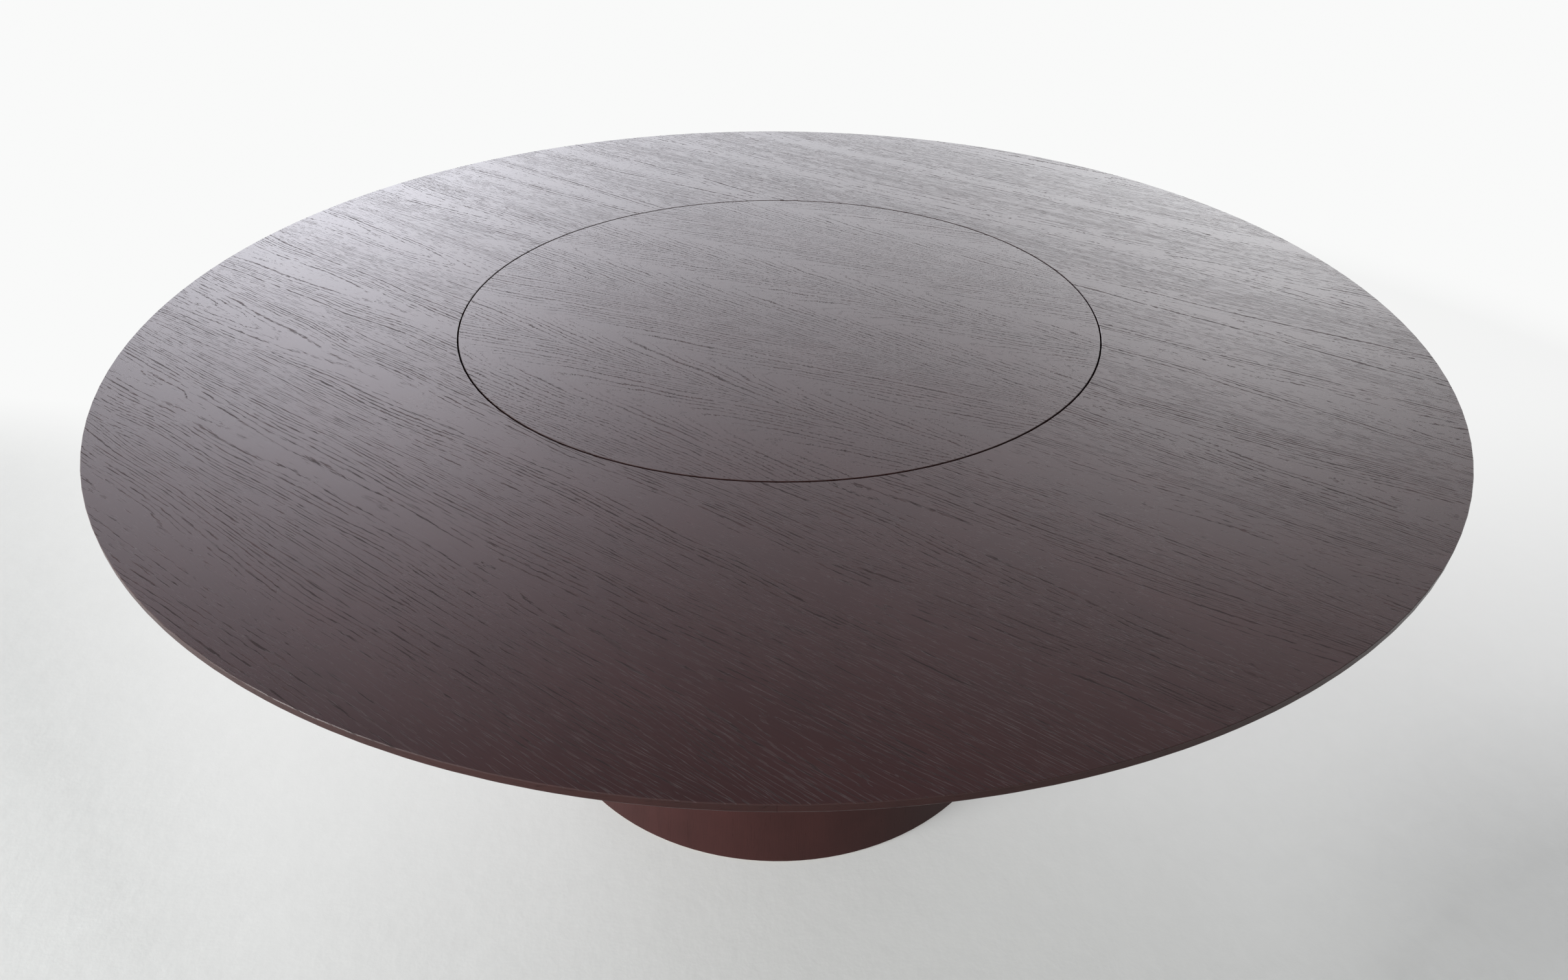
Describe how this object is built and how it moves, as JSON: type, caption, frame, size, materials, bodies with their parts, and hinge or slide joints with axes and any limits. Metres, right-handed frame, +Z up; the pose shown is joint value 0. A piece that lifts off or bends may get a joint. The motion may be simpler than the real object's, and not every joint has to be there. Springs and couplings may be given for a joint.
{
  "type": "dining table with lazy susan",
  "caption": "Round dark oak pedestal dining table with a large flush turntable in the middle of its top, on a ball-bearing ring.",
  "frame": {"origin": "on the floor, under the centre of the top", "axes": "+Z up, along the axis the lazy susan turns about; X and Y are alike"},
  "size_m": [1.8, 1.7998, 0.74],
  "materials": {
    "dark_oak_veneer": "dark plum-brown stained open-pore oak veneer, satin lacquer",
    "dark_oak_solid": "solid oak stained to match, satin lacquer",
    "backing_veneer": "stained balancing veneer, matt",
    "mdf": "raw fibreboard",
    "plywood": "birch plywood",
    "beech": "fluted beech dowel",
    "aluminium_race": "clear anodised",
    "bearing_steel": "polished bearing steel",
    "zinc_steel": "zinc plated",
    "brass_insert": "turned brass",
    "ballast_steel": "black powder coat",
    "nylon_cage": "natural nylon",
    "black_plastic": "moulded, matt"
  },
  "bodies": {
    "table": {"top_core": "mdf", "top_lipping": "dark_oak_solid", "hole_lipping": "dark_oak_solid", "top_veneer": "dark_oak_veneer", "top_backing_veneer": "backing_veneer", "top_screws": "zinc_steel", "top_washers": "zinc_steel", "top_inserts": "brass_insert", "top_dowels": "beech", "carrier_panel": "plywood", "access_plug": "black_plastic", "bearing_outer_ring": "aluminium_race", "bearing_outer_screws": "zinc_steel", "base_top_bulkhead": "plywood", "base_bottom_bulkhead": "plywood", "base_middle_former": "plywood", "rib_1": "plywood", "rib_2": "plywood", "rib_3": "plywood", "rib_4": "plywood", "rib_5": "plywood", "rib_6": "plywood", "base_shell": "plywood", "base_veneer": "dark_oak_veneer", "foot_ring": "plywood", "glides": "black_plastic", "glide_screws": "zinc_steel", "ballast_plate": "ballast_steel", "base_bolts": "zinc_steel", "base_bolt_washers": "zinc_steel", "base_bolt_inserts": "brass_insert", "ballast_bolts": "zinc_steel", "ballast_washers": "zinc_steel", "ballast_inserts": "brass_insert"},
    "lazy_susan": {"susan_core": "mdf", "susan_lipping": "dark_oak_solid", "susan_veneer": "dark_oak_veneer", "susan_backing_veneer": "backing_veneer", "bearing_inner_ring": "aluminium_race", "bearing_inner_screws": "zinc_steel"},
    "ball_cage": {"bearing_cage": "nylon_cage", "bearing_balls": "bearing_steel"}
  },
  "joints": [
    {"name": "susan_spin", "type": "hinge", "parent": "table", "child": "lazy_susan", "pos_m": [0, 0, 0.724], "axis": [0, 0, 1], "continuous": true},
    {"name": "cage_spin", "type": "hinge", "parent": "table", "child": "ball_cage", "pos_m": [0, 0, 0.718], "axis": [0, 0, 1], "continuous": true}
  ],
  "couplings": [
    {"joint": "cage_spin", "follows": "susan_spin", "ratio": 0.4957}
  ]
}
